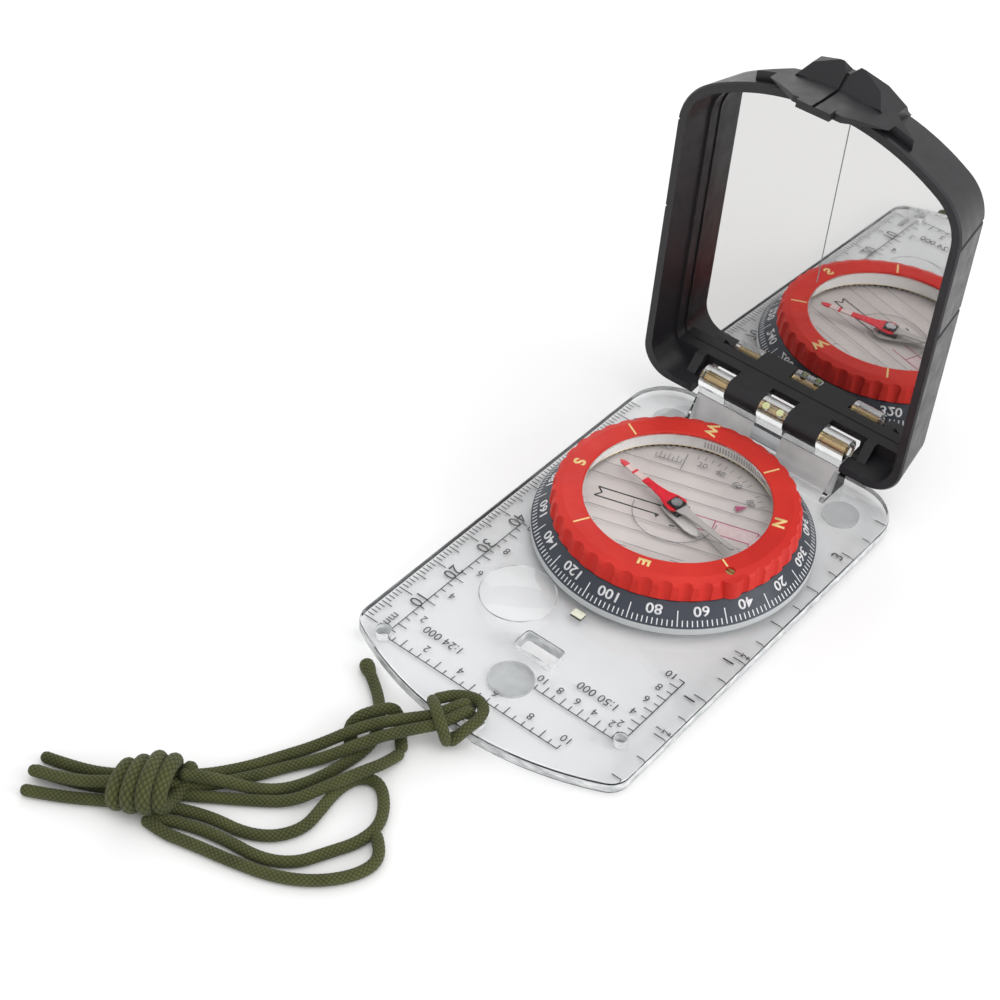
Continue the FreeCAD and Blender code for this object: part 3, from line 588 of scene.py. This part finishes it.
def band(name, outline, z0, z1, mat, body, skin=0.05):
    """Thin closed wall along an outline given in millimetres, from one level to another."""
    bm = bmesh.new()
    count = len(outline)
    middle = (z0 + z1) / 2
    rows = []
    for i, (x, y) in enumerate(outline):
        ax, ay = outline[i - 1]
        bx, by = outline[(i + 1) % count]
        size = math.hypot(bx - ax, by - ay) or 1.0
        nx, ny = (by - ay) / size * skin, (ax - bx) / size * skin
        row = [bm.verts.new((x * MM, y * MM, level * MM)) for level in (z0, middle, z1)]
        row += [bm.verts.new(((x + nx) * MM, (y + ny) * MM, level * MM)) for level in (z1, middle, z0)]
        rows.append(row)
    for i in range(count):
        a, b = rows[i], rows[(i + 1) % count]
        for k in range(6):
            m = (k + 1) % 6
            face = bm.faces.new((a[k], b[k], b[m], a[m]))
            face.smooth = k in (0, 1, 3, 4)
    bmesh.ops.recalc_face_normals(bm, faces=bm.faces[:])
    mesh = bpy.data.meshes.new(name)
    bm.to_mesh(mesh)
    bm.free()
    return new_piece(name, mesh, mat, body)


def circle(cx, cy, radius, count=72):
    angles = [2 * math.pi * k / count for k in range(count)]
    return [(cx + radius * math.cos(a), cy + radius * math.sin(a)) for a in angles]


def rounded_corner(cx, cy, radius, start, stop, count=8):
    """Points round a corner from one heading in degrees to another."""
    points = []
    for k in range(count + 1):
        a = math.radians(start + (stop - start) * k / count)
        points.append((cx + radius * math.cos(a), cy + radius * math.sin(a)))
    return points


def plate_outline():
    """Outline of the plate, from its near right corner round the far end and back along the near edge."""
    corner_x = PLATE_HALF_WIDTH - NEAR_CORNER_RADIUS
    reach = NEAR_ARC_RADIUS - NEAR_CORNER_RADIUS
    corner_y = NEAR_ARC_Y - math.sqrt(reach ** 2 - corner_x ** 2)
    lean = math.degrees(math.atan2(corner_y - NEAR_ARC_Y, corner_x))
    far_x = PLATE_HALF_WIDTH - FAR_CORNER_RADIUS
    outline = rounded_corner(corner_x, corner_y, NEAR_CORNER_RADIUS, lean, 0)
    outline += rounded_corner(far_x, FAR_CORNER_Y, FAR_CORNER_RADIUS, 0, 90)
    outline += rounded_corner(-far_x, FAR_CORNER_Y, FAR_CORNER_RADIUS, 90, 180)
    outline += rounded_corner(-corner_x, corner_y, NEAR_CORNER_RADIUS, 180, 180 - lean)
    outline += rounded_corner(0, NEAR_ARC_Y, NEAR_ARC_RADIUS, 180 - lean, 360 + lean, 40)[1:-1]
    return outline


def slot_outline():
    """Outline of the latch slot, a long hole with rounded corners."""
    half_length, far_y, near_y, radius = 3.55, -30.6, -33.4, 0.85
    corners = ((half_length, far_y), (-half_length, far_y), (-half_length, near_y), (half_length, near_y))
    outline = []
    for k, (x, y) in enumerate(corners):
        outline += rounded_corner(x, y, radius, 90 * k, 90 * k + 90, 4)
    return outline


def base_band(name, outline, z0, z1, mat, skin=0.05):
    return band(name, outline, z0, z1, mat, "base", skin)


def dial_band(name, radius, z0, z1, mat, skin=0.05):
    return band(name, circle(0, DIAL_Y, radius), z0, z1, mat, "dial", skin)


# painted light on the plate's edge and on the walls of the slot and the pencil holes
base_band("plate_edge_painted_light", plate_outline(), 1.15, 2.95, EDGE_LIGHT)
base_band("slot_edge_painted_light", slot_outline(), 0.75, 3.35, EDGE_LIGHT)
base_band("pencil_hole_edge_left", circle(*LEFT_HOLE, 1.5, 32), 0.75, 3.35, EDGE_LIGHT)
base_band("pencil_hole_edge_right", circle(*RIGHT_HOLE, 1.2, 32), 0.75, 3.35, EDGE_LIGHT)
# painted shade and glints outline the magnifier lens and the near foot
base_band("magnifier_rim", circle(-12, -23.7, 7.45), 3.46, 3.56, RIM_SHADE, 0.22)
base_band("near_foot_rim", circle(0, -40.4, 4.0, 48), 0.3, 0.59, RIM_SHADE, 0.3)
dial_band("dial_well_lining", 20.25, 0.9, 4.5, LINING)
dial_band("dial_seat_lining", 19.15, 5.65, 6.95, LINING)
dial_band("ring_gold_edge", 20.2, 8.63, 8.78, BRASS, 0.12)
dial_band("ring_top_shadow_line", 19.72, 12.1, 12.4, RUBBER)

BOX_FACES = [(3, 2, 1, 0), (4, 5, 6, 7), (0, 1, 5, 4), (1, 2, 6, 5), (2, 3, 7, 6), (3, 0, 4, 7)]


def plain_mesh(name, verts, faces, mat, body):
    """Piece made straight from corner points in millimetres."""
    mesh = bpy.data.meshes.new(name)
    mesh.from_pydata([(x * MM, y * MM, z * MM) for x, y, z in verts], [], faces)
    return new_piece(name, mesh, mat, body)


def riser_haze(label, inner, outer):
    """Milky skin on the sloping front of one hinge bracket."""
    front = [(inner, 41.02, 3.6), (outer, 41.02, 3.6), (outer, 43.12, 9.5), (inner, 43.12, 9.5)]
    raised = [(x, y - 0.03, z + 0.03) for x, y, z in front]
    plain_mesh("riser_haze_" + label, front + raised, BOX_FACES, HAZE, "base")


riser_haze("left", -17.6, -3.4)
riser_haze("right", 3.4, 17.6)


def ring_teeth():
    """Fine upright teeth round a quarter of the capsule's inner wall."""
    count, first, step, half_width = 46, 6, 1.9, math.radians(0.5)
    verts, faces = [], []
    for k in range(count):
        a = NORTH + math.radians(first + step * k)
        for radius in (19.98, 19.86):
            for turn, level in ((-1, 9.6), (1, 9.6), (1, 11.6), (-1, 11.6)):
                b = a + turn * half_width
                verts.append((radius * math.cos(b), DIAL_Y + radius * math.sin(b), level))
        faces += [tuple(8 * k + i for i in face) for face in BOX_FACES]
    plain_mesh("ring_fine_teeth", verts, faces, TEETH, "dial")


ring_teeth()

# ---------------------------------------------------------------- printed marks
FONT_PER_HEIGHT = 1.42        # font size for a letter one millimetre high


class Print:
    """Thin raised marks of one ink on one body, drawn on a level plane in millimetres."""

    def __init__(self, name, body, ink, z, slot, thick=0.02):
        self.name, self.body, self.ink, self.z = name, body, ink, z
        self.slot, self.thick = slot, thick
        self.bm = bmesh.new()

    def polygon(self, points):
        verts = [self.bm.verts.new((x, y, self.z)) for x, y in points]
        self.bm.faces.new(verts)

    def line(self, x0, y0, x1, y1, width):
        dx, dy = x1 - x0, y1 - y0
        length = math.hypot(dx, dy)
        nx, ny = -dy / length * width / 2, dx / length * width / 2
        self.polygon([(x0 + nx, y0 + ny), (x0 - nx, y0 - ny), (x1 - nx, y1 - ny), (x1 + nx, y1 + ny)])

    def spoke(self, cx, cy, angle, inner, outer, width):
        c, s = math.cos(angle), math.sin(angle)
        self.line(cx + inner * c, cy + inner * s, cx + outer * c, cy + outer * s, width)

    def path(self, points, width):
        for a, b in zip(points, points[1:]):
            self.line(a[0], a[1], b[0], b[1], width)

    def arc(self, cx, cy, radius, start, end, width, count=48):
        for k in range(count):
            a0 = math.radians(start + (end - start) * k / count)
            a1 = math.radians(start + (end - start) * (k + 1) / count)
            inner, outer = radius - width / 2, radius + width / 2
            self.polygon([(cx + inner * math.cos(a0), cy + inner * math.sin(a0)),
                          (cx + outer * math.cos(a0), cy + outer * math.sin(a0)),
                          (cx + outer * math.cos(a1), cy + outer * math.sin(a1)),
                          (cx + inner * math.cos(a1), cy + inner * math.sin(a1))])

    def text(self, words, x, y, size, angle=0.0, bold=0.0, wide=1.0):
        curve = bpy.data.curves.new("words", "FONT")
        curve.body = words
        curve.size = size * FONT_PER_HEIGHT
        curve.offset = bold
        curve.align_x = "CENTER"
        curve.align_y = "CENTER"
        curve.resolution_u = 3
        holder = bpy.data.objects.new("words", curve)
        scene.collection.objects.link(holder)
        bpy.context.view_layer.update()
        mesh = bpy.data.meshes.new_from_object(holder.evaluated_get(bpy.context.evaluated_depsgraph_get()))
        mesh.transform(Matrix.Diagonal((wide, 1.0, 1.0, 1.0)))
        mesh.transform(Matrix.Rotation(math.radians(angle), 4, "Z"))
        mesh.transform(Matrix.Translation((x, y, self.z)))
        self.bm.from_mesh(mesh)
        bpy.data.objects.remove(holder)
        bpy.data.meshes.remove(mesh)

    def finish(self, transform=None, bend=None):
        """Give the marks their thickness and make them a piece."""
        bmesh.ops.remove_doubles(self.bm, verts=self.bm.verts, dist=0.0005)
        result = bmesh.ops.extrude_face_region(self.bm, geom=self.bm.faces[:])
        moved = [g for g in result["geom"] if isinstance(g, bmesh.types.BMVert)]
        bmesh.ops.translate(self.bm, verts=moved, vec=(0, 0, self.thick))
        bmesh.ops.recalc_face_normals(self.bm, faces=self.bm.faces[:])
        if bend is not None:
            for vert in self.bm.verts:
                vert.co = bend(*vert.co)
        mesh = bpy.data.meshes.new(self.name)
        self.bm.to_mesh(mesh)
        self.bm.free()
        mesh.transform(Matrix.Diagonal((MM, MM, MM, 1.0)))
        if transform is not None:
            mesh.transform(transform)
        return new_piece(self.name, mesh, self.ink, self.body)


RULER_ZERO = -46.4
TICK = 0.24
plate_print = Print("plate_print", "base", INK_BLACK, PLATE_BOTTOM - 0.03, "dial_black")


def millimetre_ruler(edge=-31.15, count=86):
    for mm in range(count):
        y = RULER_ZERO + mm
        reach = 3.3 if mm % 10 == 0 else (2.5 if mm % 5 == 0 else 1.5)
        plate_print.line(edge, y, edge + reach, y, TICK)
        if mm % 10 == 0 and mm > 0:
            plate_print.text(str(mm), edge + 5.0, y, 2.9, -90, wide=0.9)
    plate_print.text("mm", edge + 4.6, RULER_ZERO + 2.2, 2.0, -90)


def inch_ruler(edge=30.1, label_x=27.9, quarters=15):
    """Quarter-inch ticks; the labels from 2 to 2 1/2 are left out, because the dial stands over them."""
    zero = RULER_ZERO + 0.3
    for k in range(quarters):
        y = zero + k * 25.4 / 4
        plate_print.line(edge, y, edge - (1.4 if k % 2 else 2.3), y, TICK)
    for halves in (1, 2, 3, 6):
        y = zero + halves * 12.7
        if halves > 1:
            plate_print.text(str(halves // 2), label_x, y - 1.5, 2.5, 90)
        if halves % 2:
            plate_print.text("1", label_x, y + 1.6, 1.35, 90, bold=0.02)
            plate_print.line(label_x + 0.8, y + 1.0, label_x + 0.8, y + 2.2, 0.12)
            plate_print.text("2", label_x + 1.6, y + 1.6, 1.35, 90, bold=0.02)


def romer(corner, side, step, count, reaches, title, title_x, title_y):
    """Map corner scale: two arms of ticks from a pencil hole, numbered in tenths of a kilometre."""
    corner_x, corner_y = corner
    start, far, width = step * 0.6, step * count, 0.22
    plate_print.line(corner_x, corner_y + start, corner_x, corner_y + far, width)
    plate_print.line(corner_x + side * start, corner_y, corner_x + side * far, corner_y, width)
    for k in range(1, count + 1):
        reach = reaches[(k - 1) % len(reaches)]
        up_y, across_x = corner_y + k * step, corner_x + side * k * step
        plate_print.line(corner_x, up_y, corner_x + side * reach, up_y, width)
        plate_print.line(across_x, corner_y, across_x, corner_y + reach, width)
    for value in (2, 4, 6, 8, 10):
        away = value * (count // 10) * step
        plate_print.text(str(value), corner_x + side * 2.9, corner_y + away, 1.7, 180)
        plate_print.text(str(value), corner_x + side * away, corner_y + 2.9, 1.7, 180)
    plate_print.text(title, title_x, title_y, 1.9, 180)


millimetre_ruler()
inch_ruler()
romer(LEFT_HOLE, 1, 41.67 / 20, 20, (1.15, 2.1, 1.15, 1.2), "1:24 000", -15.6, -41.4)
romer(RIGHT_HOLE, -1, 2.0, 10, (2.0, 1.2), "1:50 000", 14.8, -33.0)
plate_print.finish()


def onto_scale(x, y, z):
    """Move a mark drawn flat round the origin onto the dial's sloping scale."""
    flat = math.hypot(x, y)
    down = SCALE_RADIUS - flat
    lift = z + 0.012
    radius = SCALE_RADIUS - down * math.cos(SCALE_SLOPE) + lift * math.sin(SCALE_SLOPE)
    height = SCALE_LEVEL + down * math.sin(SCALE_SLOPE) + lift * math.cos(SCALE_SLOPE)
    return (x / flat * radius, DIAL_Y + y / flat * radius, height)


# degree numbers and ticks on the dial's bevelled scale, the long ticks between the numbers
dial_print = Print("dial_print", "dial", INK_WHITE, 0.0, "silver_ring")
for degree in range(0, 360, 2):
    inner = 25.0 if degree % 20 == 10 else 26.85
    dial_print.spoke(0, 0, NORTH - math.radians(degree), inner, 28.05, 0.21)
for degree in range(0, 360, 20):
    a = NORTH - math.radians(degree)
    x, y = 25.05 * math.cos(a), 25.05 * math.sin(a)
    dial_print.text(str(degree or 360), x, y, 1.95, math.degrees(a) - 90, bold=0.05, wide=1.15)
dial_print.finish(bend=onto_scale)

# letters and strokes on the bezel; all four letters stand the same way as the N
bezel_print = Print("bezel_print", "dial", INK_GOLD, 13.505, "brass_pin")
letters = (("N", -0.6, 0.7), ("E", -0.1, 0.2), ("S", -0.5, 0.7), ("W", -0.3, 0.6))
for k, (letter, dx, dy) in enumerate(letters):
    a = NORTH - math.radians(90 * k)
    bezel_print.text(letter, 20.8 * math.cos(a) + dx, DIAL_Y + 20.8 * math.sin(a) + dy, 2.35,
                     math.degrees(NORTH) - 90, bold=0.12, wide=1.1)
for k in range(4):
    a = NORTH - math.radians(45 + 90 * k)
    outer = 21.2 if k == 0 else 22.6
    bezel_print.spoke(0, DIAL_Y, a, 19.1, outer, 0.38)
bezel_print.finish()


def turned(points):
    """Points given as (along north, to the left of north) from the pivot."""
    c, s = math.cos(NORTH), math.sin(NORTH)
    return [(u * c - v * s, DIAL_Y + u * s + v * c) for u, v in points]


# marks on the capsule floor, drawn along the north line
floor_print = Print("capsule_floor_print", "dial", INK_GREY, 8.605, "dial_black")
for offset in (-12.4, -8.2, -4.6, 4.6, 8.2, 12.4):
    half = math.sqrt(19.8 ** 2 - offset ** 2)
    floor_print.path(turned([(-half, offset), (half, offset)]), 0.15)
floor_print.arc(0, DIAL_Y, 8.6, math.degrees(NORTH) - 180, math.degrees(NORTH), 0.2)
floor_print.path(turned([(6.6, -3.5), (13.6, -8.7)]), 0.13)
for value, degree in ((20, 88), (40, 73), (60, 56), (80, 35)):
    a = NORTH + math.radians(degree)
    x, y = 15.6 * math.cos(a), DIAL_Y + 15.6 * math.sin(a)
    floor_print.text(str(value), x, y, 1.5, math.degrees(a) - 90)
    for extra in (-5, 0, 5):
        floor_print.spoke(0, DIAL_Y, a + math.radians(extra), 17.0, 18.3, 0.14)
# small declination scale beside the pivot
for k in range(7):
    u = -9.2 + 0.9 * k
    floor_print.path(turned([(u, 14.4), (u, 15.6 + 0.7 * (k % 2))]), 0.16)
floor_print.path(turned([(-9.2, 14.4), (-3.8, 14.4)]), 0.16)
floor_print.path(turned([(-3.2, 12.4), (-3.2, 17.6)]), 0.2)
floor_print.path(turned([(-9.6, 17.4), (-8.6, 18.2), (-7.4, 17.2), (-6.2, 18.4)]), 0.16)
floor_print.finish()

# orienting arrow and north box on the disc below the capsule
arrow_print = Print("orienting_arrow_print", "orienting_disc", INK_BLACK, 7.905, "dial_black")
arrow_print.path(turned([(-3.2, 1.35), (-16.6, 1.35), (-15.4, 0.0), (-16.6, -1.35), (-3.2, -1.35)]), 0.36)
arrow_print.finish()
fill_print = Print("north_box_fill", "orienting_disc", PINK_FILL, 7.902, "needle_red", thick=0.004)
fill_print.polygon(turned([(7.9, -1.8), (16.8, -1.8), (16.8, 1.8), (7.9, 1.8)]))
fill_print.finish()
box_print = Print("north_box_print", "orienting_disc", INK_PINK, 7.91, "needle_red")
box_print.path(turned([(3.6, 1.8), (16.8, 1.8)]), 0.26)
box_print.path(turned([(3.6, -1.8), (16.8, -1.8), (16.8, 1.8)]), 0.26)
box_print.path(turned([(7.9, 1.8), (7.9, -1.8)]), 0.26)
box_print.finish()

# declination triangle on the capsule floor
red_print = Print("declination_triangle", "dial", INK_PINK, 8.605, "needle_red")
red_print.polygon(turned([(10.1, 6.9), (12.6, 7.6), (11.0, 5.4)]))
red_print.finish()

# marks on the clinometer pointer
pointer_print = Print("clinometer_marks", "clinometer", INK_BLACK, 9.405, "dial_black")
pointer_print.polygon([(-2.6, DIAL_Y - 3.9), (-1.6, DIAL_Y - 4.6), (-1.5, DIAL_Y - 3.4)])
pointer_print.line(1.6, DIAL_Y - 4.6, 2.6, DIAL_Y - 4.2, 0.4)
pointer_print.finish()

# sight line on the mirror, drawn level and then stood up on the opened cover
mirror_print = Print("mirror_sight_line", "cover", INK_GREY, -MIRROR_DEPTH, "dial_black")
mirror_print.line(0.0, 30.0, 0.0, 67.0, 0.22)
mirror_print.finish(Matrix((
    (1, 0, 0, 0),
    (0, SIGHT.y, -DEPTH.y, HINGE_Y * MM),
    (0, SIGHT.z, -DEPTH.z, HINGE_Z * MM),
    (0, 0, 0, 1))))

# ---------------------------------------------------------------- stage and light
floor_mesh = bpy.data.meshes.new("floor")
floor_mesh.from_pydata([(-3, -3, 0), (3, -3, 0), (3, 3, 0), (-3, 3, 0)], [], [(0, 1, 2, 3)])
floor = bpy.data.objects.new("floor", floor_mesh)
scene.collection.objects.link(floor)
FLOOR = new_material("pale_floor", (0.97, 0.97, 0.97), 0.9)
floor.data.materials.append(FLOOR)
floor.location.z = -0.02 * MM        # just clear of the faces that stand on it

world = bpy.data.worlds.new("world")
scene.world = world
world.use_nodes = True
world.node_tree.nodes["Background"].inputs["Color"].default_value = (1.0, 1.0, 1.0, 1.0)
world.node_tree.nodes["Background"].inputs["Strength"].default_value = 0.84


def softbox(name, where, target, size, power):
    data = bpy.data.lights.new(name, "AREA")
    data.shape = "RECTANGLE"
    data.size, data.size_y = size
    data.energy = power
    obj = bpy.data.objects.new(name, data)
    scene.collection.objects.link(obj)
    obj.location = where
    obj.rotation_euler = (Vector(target) - Vector(where)).to_track_quat("-Z", "Y").to_euler()


softbox("key_light", (0.25, -0.15, 0.75), (0, 0, 0.02), (0.6, 0.6), 1.3)
softbox("side_light", (0.9, 0.25, 0.35), (0, 0.03, 0.04), (0.5, 0.5), 3.0)
softbox("back_light", (-0.5, 0.7, 0.5), (0, 0, 0.03), (0.6, 0.4), 1.2)
